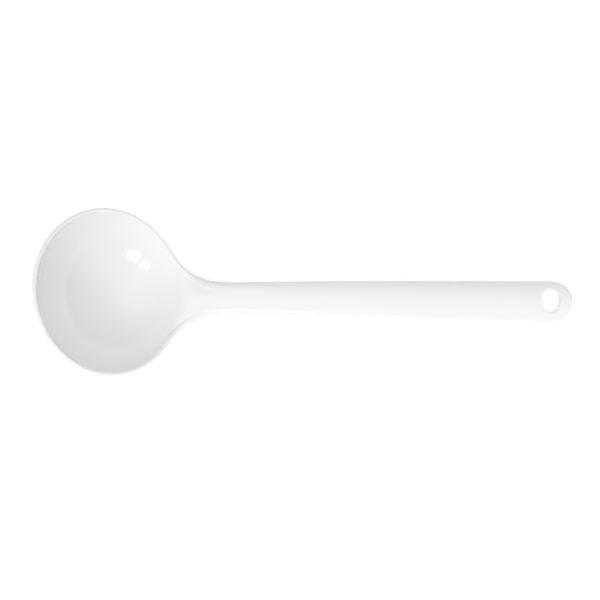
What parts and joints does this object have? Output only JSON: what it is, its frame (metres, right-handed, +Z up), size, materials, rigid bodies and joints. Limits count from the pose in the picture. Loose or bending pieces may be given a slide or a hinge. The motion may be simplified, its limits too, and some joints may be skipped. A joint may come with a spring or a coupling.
{
  "type": "sauce ladle",
  "caption": "Sauce ladle moulded in glossy white plastic, with a round bowl, a neck that flares from its lip, and a slender crowned handle that ends in a round eye with an oval hole.",
  "frame": {"origin": "on the table, under the middle of the whole ladle as it lies", "axes": "+X from the bowl along the handle to its tip, +Y across the handle, +Z up from the table"},
  "size_m": [0.24, 0.0748, 0.0492],
  "materials": {
    "white_melamine": "gloss"
  },
  "bodies": {
    "root": {"bowl": "white_melamine", "neck": "white_melamine", "handle": "white_melamine", "hanging_eye": "white_melamine"}
  },
  "joints": []
}
